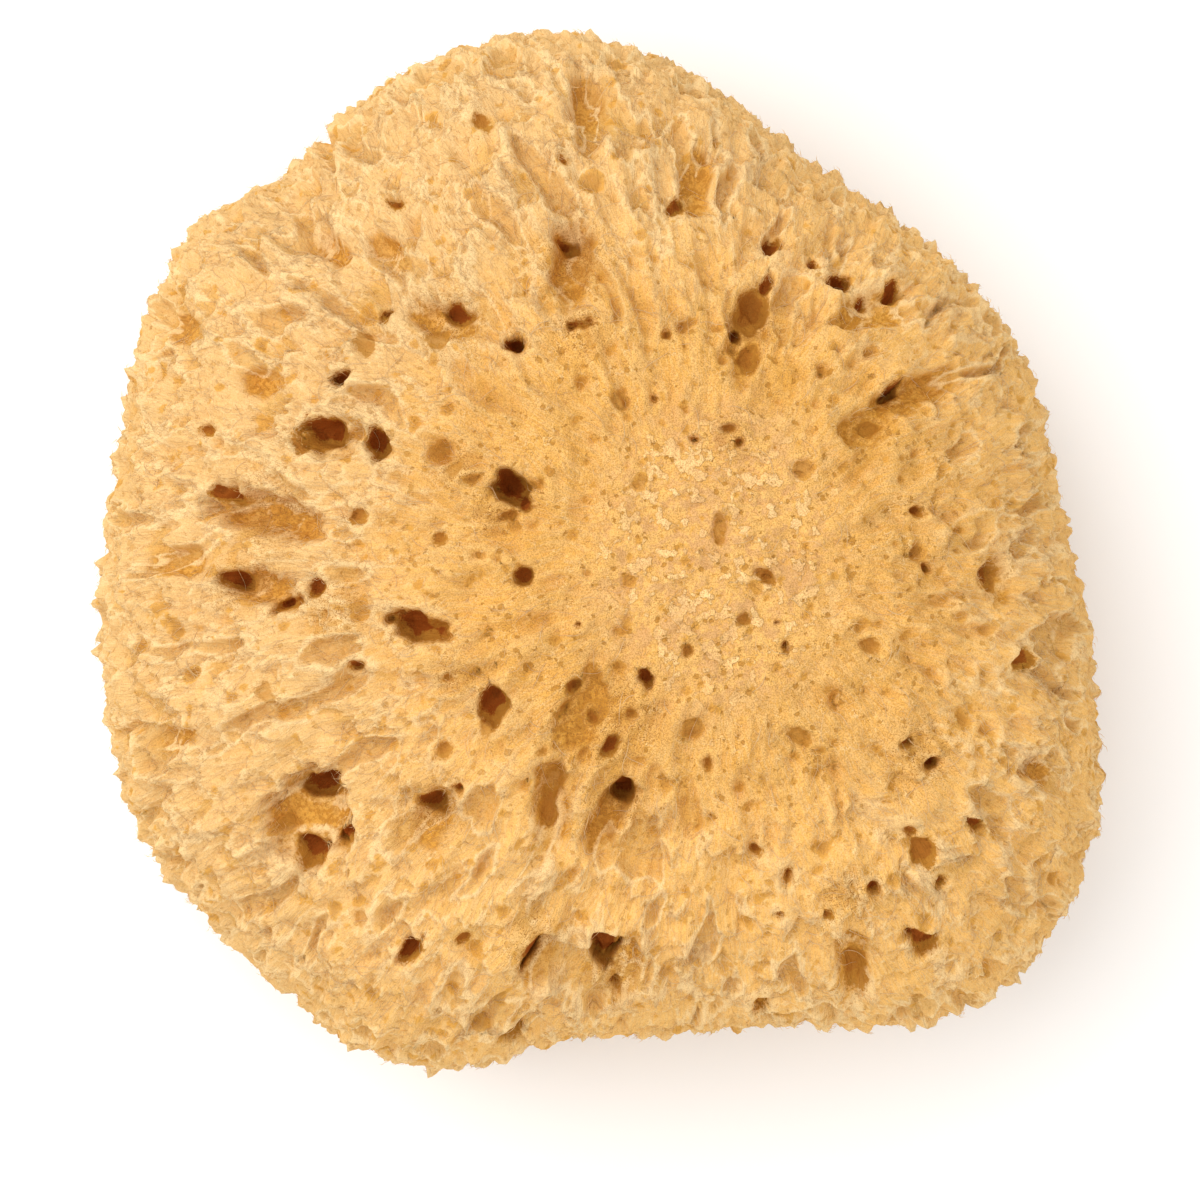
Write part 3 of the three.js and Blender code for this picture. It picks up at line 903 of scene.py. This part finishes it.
def spindles(name, root, middle, tip, thickness, shade):
    """Fibres as closed spindles that bend once: a point at the root, a triangle round the middle and a
    point at the tip. shade runs from 0, dark, to 1, pale, and a fibre pales from root to tip. Those that
    would hang over a mouth are left out."""
    kept = ~(over_mouth(tip) | over_mouth(middle))
    root, middle, tip, thickness, shade = (part[kept] for part in (root, middle, tip, thickness, shade))
    count = len(root)
    ring = three_round(middle, unit(tip - root), thickness[:, None])
    points = np.stack([root, *ring, tip], 1).reshape(-1, 3)
    start = 5 * np.arange(count)[:, None, None]
    pattern = np.array([[0, 2, 1], [0, 3, 2], [0, 1, 3], [4, 1, 2], [4, 2, 3], [4, 3, 1]])
    faces = (start + pattern).reshape(-1, 3)
    tips = np.tile([0.0, 0.5, 0.5, 0.5, 1.0], count)
    spread = np.tile([0.0, -SHADE_STEP, 0.0, SHADE_STEP, 0.0], count)
    shades = np.repeat(np.clip(shade, 0.02, 0.98), 5)
    return fibre_mesh(name, points, faces, tips, shades, spread)


def lying_fibres(name, sheet, seed, count, wanted, length, lift, stray, thickness, pale):
    """Fibres that lie over the skin and point away from the holdfast: each starts just inside the skin,
    rises to its middle and bends back down to its tip, turned aside at random by stray."""
    rng = np.random.default_rng(seed)
    read, shares = scattered(sheet, rng, count, wanted), sheet.shares
    place, normal = read(sheet.skin), unit(read(sheet.normal))
    way = read(sheet.outward) + stray * rng.normal(size=(count, 3))
    way = unit(way - np.sum(way * normal, -1, keepdims=True) * normal)
    turned = np.cross(normal, way)
    shorter = (1 - 0.55 * read(sheet.matted)) * (1 - 0.4 * read(shares["flank"]))
    reach = length * rng.uniform(0.6, 1.5, count) * shorter
    rise = lift * rng.uniform(0.3, 1.4, count)
    curl = rng.normal(scale=0.22, size=count) * reach
    root = place - 0.15 * normal
    middle = root + way * (0.5 * reach)[:, None] + normal * rise[:, None] + turned * curl[:, None]
    tip = root + way * reach[:, None] + normal * (rise * rng.uniform(0.2, 1.5, count))[:, None]
    thick = thickness * rng.uniform(0.7, 1.3, count)
    # painted shade: fibres over a mouth's dark or a trough floor are darker
    shade = pale + 0.1 * rng.normal(size=count) - 0.4 * read(shares["gloom"]) - 0.25 * read(shares["floor"])
    return spindles(name, root, middle, tip, thick, shade)


def read_grid(values, u, v):
    """A grid's values between its rows and columns, by mixing the four nearest."""
    i, j = np.floor(u).astype(int), np.floor(v).astype(int)
    a, b = u - i, v - j
    if values.ndim == 3:
        a, b = a[:, None], b[:, None]
    return ((1 - a) * (1 - b) * values[i, j] + a * (1 - b) * values[i + 1, j]
            + a * b * values[i + 1, j + 1] + (1 - a) * b * values[i, j + 1])


def long_strands(name, sheet, seed, count, wanted, stride, wander, thickness, pale):
    """Single long strands that creep over the skin, roughly away from the holdfast, as closed
    three-sided tubes. Each step turns a little at random. The grid is followed by solving for the row
    and column that give the wanted step on the smooth dome. Few that pass over a mouth are kept."""
    rng = np.random.default_rng(seed)
    i, j = random_cells(sheet, rng, count, wanted)
    rows, columns = sheet.row.shape
    u, v = i + rng.random(count), j + rng.random(count)
    by_row, by_column = np.gradient(sheet.dome, axis=0), np.gradient(sheet.dome, axis=1)
    heading = rng.normal(scale=0.5, size=count)
    turn = np.zeros(count)
    size = stride * rng.uniform(0.6, 1.3, count)
    lift = rng.uniform(0.05, 0.40, count)
    share = np.linspace(0, 1, STRAND_RINGS)
    path = []
    for s in share:
        bow = lift * math.sin(math.pi * s) - 0.12 * (1 - math.sin(math.pi * s))
        path.append(read_grid(sheet.skin, u, v) + unit(read_grid(sheet.normal, u, v)) * bow[:, None])
        away, du, dv = (read_grid(part, u, v) for part in (sheet.outward, by_row, by_column))
        aside = np.cross(read_grid(sheet.dome_normal, u, v), away)
        turn = 0.6 * turn + rng.normal(scale=wander, size=count)
        heading = heading + turn
        step = (away * np.cos(heading)[:, None] + aside * np.sin(heading)[:, None]) * size[:, None]
        uu, uv, vv = (np.sum(p * q, -1) for p, q in ((du, du), (du, dv), (dv, dv)))
        su, sv = np.sum(step * du, -1), np.sum(step * dv, -1)
        scale = np.maximum(uu * vv - uv ** 2, 1e-6)
        u = np.clip(u + (su * vv - sv * uv) / scale, 0, rows - 1.001)
        v = np.clip(v + (sv * uu - su * uv) / scale, 0, columns - 1.001)
    path = np.stack(path, 1)
    kept = ~over_mouth(path.reshape(-1, 3)).reshape(count, -1).any(1) | (rng.random(count) < BRIDGING)
    path, size = path[kept], size[kept]
    count = len(path)
    before, after = path[:, [0, *range(STRAND_RINGS - 1)]], path[:, [*range(1, STRAND_RINGS), -1]]
    path = 0.5 * path + 0.25 * (before + after)
    along = unit(np.gradient(path, axis=1))
    taper = (0.25 + 0.75 * np.sin(np.pi * share))[:, None]
    thick = (thickness * rng.uniform(0.7, 1.4, count))[:, None, None] * taper
    ring = np.stack(three_round(path, along, thick), 2)
    points = np.concatenate([ring.reshape(count, -1, 3), path[:, :1] - 0.1 * along[:, :1],
                             path[:, -1:] + 0.1 * along[:, -1:]], 1)
    k = 3 * np.arange(STRAND_RINGS - 1)[:, None] + np.arange(3)
    following = 3 * np.arange(STRAND_RINGS - 1)[:, None] + (np.arange(3) + 1) % 3
    tube = np.stack([k, following, following + 3, k + 3], -1).reshape(-1, 4)
    start, end = 3 * STRAND_RINGS, 3 * STRAND_RINGS + 1
    last = 3 * STRAND_RINGS - 3
    caps = np.array([[start, (n + 1) % 3, n] for n in range(3)]
                    + [[end, last + n, last + (n + 1) % 3] for n in range(3)])
    each = (3 * STRAND_RINGS + 2) * np.arange(count)[:, None, None]
    faces = [(each + tube).reshape(-1, 4), (each + caps).reshape(-1, 3)]
    tips = np.tile(np.concatenate([np.repeat(share, 3), [0.0, 1.0]]), count)
    shade = pale + 0.10 * rng.normal(size=count)
    around = np.concatenate([np.tile([-SHADE_STEP, 0.0, SHADE_STEP], STRAND_RINGS), [0.0, 0.0]])
    shades = (np.clip(shade, 0.04, 0.96)[:, None] + around).ravel()
    return fibre_mesh(name, points.reshape(-1, 3), faces, tips, shades)


# ---------------------------------------------------------------- finishes


class Value:
    """A number that varies over a surface. Arithmetic on it adds Math nodes to its finish."""

    def __init__(self, finish, socket):
        self.finish, self.socket = finish, socket

    def maths(self, operation, a, b=0.0):
        """One Math node on a and b, which are Values or numbers."""
        return self.finish.node("ShaderNodeMath", {"operation": operation}, {0: a, 1: b})

    def __add__(self, other):
        return self.maths("ADD", self, other)

    def __sub__(self, other):
        return self.maths("SUBTRACT", self, other)

    def __mul__(self, other):
        return self.maths("MULTIPLY", self, other)

    def __rsub__(self, other):
        return self.maths("SUBTRACT", other, self)

    def between(self, edge0, edge1):
        """An eased step from 0 at edge0 to 1 at edge1."""
        settings = {"interpolation_type": "SMOOTHSTEP"}
        return self.finish.node("ShaderNodeMapRange", settings, {0: self, 1: edge0, 2: edge1})

    __radd__ = __add__
    __rmul__ = __mul__


class Finish:
    """A material on the Principled shader, whose constants are set on its own sockets."""

    def __init__(self, name, **constants):
        self.material = bpy.data.materials.new(name)
        self.material.use_nodes = True
        self.tree = self.material.node_tree
        self.shader = self.tree.nodes["Principled BSDF"]
        for socket, value in constants.items():
            self.shader.inputs[socket.replace("_", " ")].default_value = value

    def node(self, kind, settings, sockets, output=0):
        """Adds a node of a kind, with its settings and then the values or links of its sockets."""
        made = self.tree.nodes.new(kind)
        for setting, value in settings.items():
            setattr(made, setting, value)
        for socket, value in sockets.items():
            if isinstance(value, Value):
                self.tree.links.new(value.socket, made.inputs[socket])
            else:
                made.inputs[socket].default_value = value
        return Value(self, made.outputs[output])

    def share(self, name):
        """A float attribute of the piece."""
        return self.node("ShaderNodeAttribute", {"attribute_name": name}, {}, "Fac")

    def grain(self, size, detail=2.0, rough=0.5, shift=0.0):
        """Noise on the piece's own coordinates, with features about size millimetres across."""
        place = self.node("ShaderNodeTexCoord", {}, {}, "Object")
        moved = self.node("ShaderNodeMapping", {}, {"Vector": place, "Location": (shift, 0, 0)})
        sockets = {"Vector": moved, "Scale": 1 / (size * MM), "Detail": detail, "Roughness": rough}
        return self.node("ShaderNodeTexNoise", {}, sockets)

    def threads(self, width, length):
        """Thin crests that run along the canals, from 0 between them to 1 on them."""
        lines = []
        for band in ("comb_even", "comb_odd"):
            place = self.node("ShaderNodeAttribute", {"attribute_name": band}, {}, "Vector")
            size = (1 / width, 1 / width, 1 / length)
            moved = self.node("ShaderNodeVectorMath", {"operation": "MULTIPLY"}, {0: place, 1: size})
            sockets = {"Vector": moved, "Scale": 1.0, "Detail": 2.0, "Roughness": 0.6, "Distortion": 0.4}
            swing = self.node("ShaderNodeTexNoise", {}, sockets) - 0.5
            lines.append(1 - swing.maths("ABSOLUTE", swing) * 7)
        odd_share = self.share("odd_share")
        return (lines[0] * (1 - odd_share) + lines[1] * odd_share).between(0.25, 1.0)

    def dots(self, spacing):
        """Distance from the nearest of many scattered points, in spacings."""
        place = self.node("ShaderNodeTexCoord", {}, {}, "Object")
        return self.node("ShaderNodeTexVoronoi", {}, {"Vector": place, "Scale": 1 / (spacing * MM)})

    def mix(self, share, a, b):
        """Colour a where share is 0 and b where it is 1."""
        return self.node("ShaderNodeMix", {"data_type": "RGBA"}, {0: share, 6: a, 7: b}, 2)

    def connect(self, socket, value):
        """Feeds one of the shader's sockets from a Value."""
        self.tree.links.new(value.socket, self.shader.inputs[socket])

    def bump(self, height, depth, strength=1.0):
        """Fine relief, depth millimetres deep."""
        sockets = {"Strength": strength, "Distance": depth * MM, "Height": height}
        self.connect("Normal", self.node("ShaderNodeBump", {}, sockets))


# Several of these also carry painted light and shade: AMBER, OLIVE, TROUGH, SYRUP and OCHRE where they darken
# hollows, troughs, channels, pores and mouth walls, and the darkest brown down the mouths, are painted shade;
# CREAM on the rim's side towards the key light is painted light; the palest felt on raised edges is partly
# painted highlight.
GOLD = (0.87, 0.48, 0.135, 1)
CREAM = (0.69, 0.48, 0.25, 1)
HONEY = (0.86, 0.50, 0.155, 1)
BEIGE = (0.74, 0.49, 0.22, 1)
BLEACHED_AND_LIT = (0.86, 0.61, 0.30, 1)
AMBER = (0.67, 0.335, 0.06, 1)
OLIVE = (0.66, 0.395, 0.13, 1)
TROUGH = (0.46, 0.19, 0.018, 1)
SYRUP = (0.66, 0.32, 0.05, 1)
OCHRE = (0.48, 0.22, 0.035, 1)
BROWN = (0.40, 0.18, 0.04, 1)
MOUTH_SHADE = (0.30, 0.078, 0.013, 1)
MATTED = (0.68, 0.38, 0.155, 1)
CRUST = (0.95, 0.64, 0.30, 1)


def skin_finish():
    """Felted spongin: gold, paler on crests, amber in the hollows and dark brown down the mouths, all mottled
    and pricked with pinholes. The amber and dark brown in hollows, troughs, pores and mouths are painted
    shade, the paler crests are partly painted highlight, and the rim's side towards the key light has painted
    light. The edges of mouths and pores are frayed by the fine grain."""
    f = Finish("sponge_felt", Roughness=1.0, Specular_IOR_Level=0.0)
    middle, fine = f.grain(2.4, 3.0, 0.65, 0.3), f.grain(0.6, 2.0, 0.6, 0.7)
    finest = f.grain(0.2, 1.0, 0.5, 0.9)
    threads, broad = f.threads(0.8, 7.0), f.grain(8.0, 2.0, 0.5, 1.1).between(0.38, 0.64)
    matted, rimward, worn = f.share("matted").between(0.1, 0.8), f.share("rimward"), f.share("worn")
    hollow, gape = f.share("hollow"), f.share("gape")
    # noise that frays the edge of whatever it is added to
    fray = (fine - 0.5) * 1.4 + (finest - 0.5) * 0.5
    wide_fray = fray + (middle - 0.5) * 1.2
    pore = (f.share("pore") + wide_fray * 0.6).between(-0.05, 0.25)
    # the felt itself: random mottle from gold to amber, a little darker in the valleys between ridges as
    # painted shade; paler towards the rim and on its threads, with painted light making the rim palest on its
    # side towards the key light
    valley = f.share("ridge").between(0.75, 0.35) * (1 - matted)
    colour = f.mix((middle + valley * 0.2 + (fine - 0.5) * 0.5).between(0.42, 0.80) * 0.6, GOLD, AMBER)
    lit_rim = f.mix(f.share("sunlit"), HONEY, CREAM)
    colour = f.mix(rimward * (1 - hollow) * 0.55, colour, lit_rim)
    colour = f.mix((threads + fray * 0.2).between(0.25, 0.75) * (1 - hollow * 0.6) * 0.28, colour, BLEACHED_AND_LIT)
    colour = f.mix(broad * (0.30 - rimward * 0.15), colour, OLIVE)
    # the matted patch: pale islands with amber outlines, and crumbs
    flake = f.grain(2.5, 2.0, 0.55, 0.5) + fray * 0.05
    island, outline = flake.between(0.545, 0.575), flake.between(0.49, 0.53) * flake.between(0.56, 0.53)
    crust = f.mix((middle + (fine - 0.5) * 0.6 - broad * 0.12 + 0.06).between(0.36, 0.62), MATTED, HONEY)
    crust = f.mix(island * (0.8 - broad * 0.5) + f.share("crumb") * 0.4, crust, CRUST)
    crust = f.mix(outline * 0.5, crust, AMBER)
    colour = f.mix(matted * 0.95, colour, crust)
    # thin pale veins and wisps over the rest
    vein = flake - 0.5
    vein = vein.maths("ABSOLUTE", vein).between(0.022, 0.006) * middle.between(0.45, 0.60)
    wisp = f.threads(2.6, 7.0) + fray * 0.02 - 0.5
    wisp = wisp.maths("ABSOLUTE", wisp).between(0.030, 0.010) * middle.between(0.56, 0.44)
    colour = f.mix((vein + wisp) * (1 - matted) * 0.6, colour, BLEACHED_AND_LIT)
    # trough floors, hollows and channels: painted shade, darker and more saturated where they sink
    floor = (f.share("floor") + wide_fray * 0.3).between(0.1, 0.6)
    mottle = (fine + (middle - 0.5) * 0.8).between(0.40, 0.62)
    colour = f.mix(floor * 0.9, colour, f.mix(mottle, TROUGH, SYRUP))
    hollow_shade = f.mix(rimward * 0.7, AMBER, OLIVE)
    colour = f.mix((hollow + fray * 0.4).between(0.15, 0.75) * 0.8, colour, hollow_shade)
    rut = f.share("channel") + fray * 0.10
    rut_shade = f.mix(mottle + rimward * 0.5, AMBER, OLIVE)
    colour = f.mix(rut.between(-0.03, 0.12) * (0.8 - rimward * 0.25), colour, rut_shade)
    # the flank: beige, with painted shade in olive between the knobs, knob tops that are paler, partly as
    # painted highlight, and dark pocks
    flank, tuft = f.share("flank"), f.share("tuft") + fray * 0.15
    colour = f.mix(flank * 0.4, colour, BEIGE)
    colour = f.mix(flank * tuft.between(0.22, 0.02) * 0.5, colour, OLIVE)
    colour = f.mix(flank * tuft.between(0.3, 0.7) * 0.6, colour, BLEACHED_AND_LIT)
    pock = (f.dots(3.4) + fray * 0.2 + (0.5 - middle) * 0.8).between(0.24, 0.15)
    colour = f.mix(flank.between(0.75, 1.0) * pock * 0.8, colour, OCHRE)
    # crests and brinks: paler felt, partly painted highlight where the raised edges catch the light
    brow = (f.share("crest") + fray * 0.35).between(0.25, 0.85)
    colour = f.mix(brow * 0.7, colour, f.mix(rimward, lit_rim, BLEACHED_AND_LIT))
    colour = f.mix(rut.between(-0.13, -0.05) * rut.between(0.02, -0.03) * rimward * 0.7, colour, BLEACHED_AND_LIT)
    # pores and pinholes, darkened with painted shade; the worn patches' brown stain; stipple, which is
    # painted shade of the hollows seen through thin felt and on the worn patches their own stipple; and grit
    colour = f.mix(pore * 0.8, colour, f.mix(f.share("pore").between(0.2, 0.9), AMBER, OCHRE))
    pit = (f.dots(1.9) + fray * 0.16 + (0.5 - middle) * 1.2).between(0.20, 0.12)
    colour = f.mix(pit * (0.8 - rimward * 0.4), colour, OCHRE)
    # painted shade: where the felt is thin enough, by lips, in hollows and away from the rim, the hollows'
    # dark shows through as stipple; on the worn patches it is their own stipple
    thin = (f.share("lip") * 0.8 + 1 - rimward) * middle.between(0.56, 0.72) * 0.9 + hollow * 0.3 + worn + 0.1
    stipple = finest.between(0.52, 0.42) * fine.between(0.62, 0.42)
    colour = f.mix(worn * middle.between(0.62, 0.42) * 0.55, colour, OCHRE)
    colour = f.mix(stipple * thin, colour, BROWN)
    grit = finest.between(0.62, 0.32) * (0.5 - 0.3 * rimward)
    colour = f.mix(grit, colour, BROWN)
    # down the mouths, painted shade: ochre past the edge, dark brown past the depths' edge, which lies
    # towards the light under the wall that shades it
    dark = f.share("dark")
    colour = f.mix((gape + fray).between(-0.1, 0.25) * dark.between(0.0, 0.7), colour, OCHRE)
    colour = f.mix((f.share("depths") + fray * 0.7).between(-0.1, 0.3) * dark.between(0.4, 0.9), colour, MOUTH_SHADE)
    f.connect("Base Color", colour)
    relief = fine + finest * 0.6 + island * matted * 0.6 - pit * 0.4
    f.bump(relief * (1 - rimward * 0.5) + threads * rimward * 0.22, 0.4, 0.8)
    return f.material


def fibre_finish():
    """Single spongin fibres: their colour goes by the shade of each and pales towards its tip."""
    f = Finish("sponge_fibre", Roughness=1.0, Specular_IOR_Level=0.0)
    shade = f.share("shade") + f.share("tip") * 0.25
    colour = f.mix(shade.between(0.0, 0.45), BROWN, GOLD)
    colour = f.mix(shade.between(0.45, 1.0), colour, CREAM)
    f.connect("Base Color", colour)
    return f.material


# ---------------------------------------------------------------- the sponge

felt, fibre = skin_finish(), fibre_finish()


def open_skin(sheet):
    """Where fibres show, 0 to 1: clear of mouths, trough floors, worn patches, the foot and hidden rows."""
    shares = sheet.shares
    seen = (1 - shares["gloom"]) ** 2 * (1 - 0.9 * shares["floor"]) * (1 - 0.7 * shares["worn"])
    return seen * smooth(3.0, 8.0, sheet.skin[..., 2]) * (sheet.buried < 0.1)


body, side_skin = body_piece(), side_piece()
top, below = crown.shares, side.shares
on_top, on_side = open_skin(crown), open_skin(side)
unmatted = on_top * (1 - 0.8 * top["matted"])
edges = top["crest"] ** 2 + 0.25 * top["rimward"]
pieces = [
    (body, felt), (side_skin, felt),
    (lying_fibres("crown_down", crown, 71, HAIRS, unmatted * (1.1 - 0.8 * top["hollow"]),
                  length=0.9, lift=0.16, stray=2.2, thickness=0.026, pale=0.60), fibre),
    (lying_fibres("crest_fringe", crown, 72, HAIRS, unmatted * (edges + 0.06),
                  length=2.2, lift=0.36, stray=0.6, thickness=0.034, pale=0.78), fibre),
    (lying_fibres("flank_down", side, 73, HAIRS, on_side * (0.3 + below["crest"]),
                  length=1.6, lift=0.25, stray=0.5, thickness=0.040, pale=0.62), fibre),
    (long_strands("long_strands", crown, 74, STRANDS, on_top * (1 - top["hollow"]) * (0.12 + edges),
                  stride=0.60, wander=0.17, thickness=0.042, pale=0.92), fibre),
]
for piece, finish in pieces:
    piece.data.materials.append(finish)
    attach(piece, "root")
    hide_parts(SPONGE)

# ---------------------------------------------------------------- floor, light and camera

FLOOR_HALF = 3.0
floor_mesh = bpy.data.meshes.new("floor")
floor_corners = [(-1, -1, 0), (1, -1, 0), (1, 1, 0), (-1, 1, 0)]
floor_places = [tuple(FLOOR_HALF * c for c in corner) for corner in floor_corners]
floor_mesh.from_pydata(floor_places, [], [(0, 1, 2, 3)])
floor = placed("floor", floor_mesh)
floor.data.materials.append(Finish("pale_floor", Base_Color=(0.95, 0.95, 0.95, 1), Roughness=0.9).material)


def aim(thing, target):
    """Turns a light or camera to look from where it is to a target."""
    way = Vector(target) - thing.location
    thing.rotation_euler = way.to_track_quat("-Z", "Y").to_euler()


LIT_POINT = (0, 0, 0.04)  # inside the sponge, in metres


def soft_light(name, place, size, power, colour):
    """A square softbox that faces the sponge."""
    lamp = bpy.data.lights.new(name, "AREA")
    lamp.size, lamp.energy, lamp.color = size, power, colour
    box = placed(name, lamp)
    box.location = place
    aim(box, LIT_POINT)


soft_light("key_softbox", (-0.58, 0.38, 0.98), size=1.4, power=13.0, colour=(1.0, 0.97, 0.92))
soft_light("fill_softbox", (0.35, -0.7, 0.8), size=1.2, power=2.9, colour=(1.0, 0.98, 0.95))

SKY_STRENGTH = 0.84
world = bpy.data.worlds.new("studio")
world.use_nodes = True
world.node_tree.nodes["Background"].inputs["Color"].default_value = (1, 1, 1, 1)
world.node_tree.nodes["Background"].inputs["Strength"].default_value = SKY_STRENGTH
bpy.context.scene.world = world
bpy.context.scene.view_settings.view_transform = "Standard"

LENS = 200.0
SENSOR = 36.0
VIEW_WIDTH = 176.5  # what the frame takes in at the height of the shoulder
SHOULDER_HEIGHT = 52.0
VIEW_DOWN = -7.4  # the frame's middle is this far towards -Y from the sponge's
camera_data = bpy.data.cameras.new("camera")
camera_data.lens, camera_data.sensor_width = LENS, SENSOR
camera = placed("camera", camera_data)
camera.location = (0, VIEW_DOWN * MM, (SHOULDER_HEIGHT + VIEW_WIDTH * LENS / SENSOR) * MM)
bpy.context.scene.camera = camera
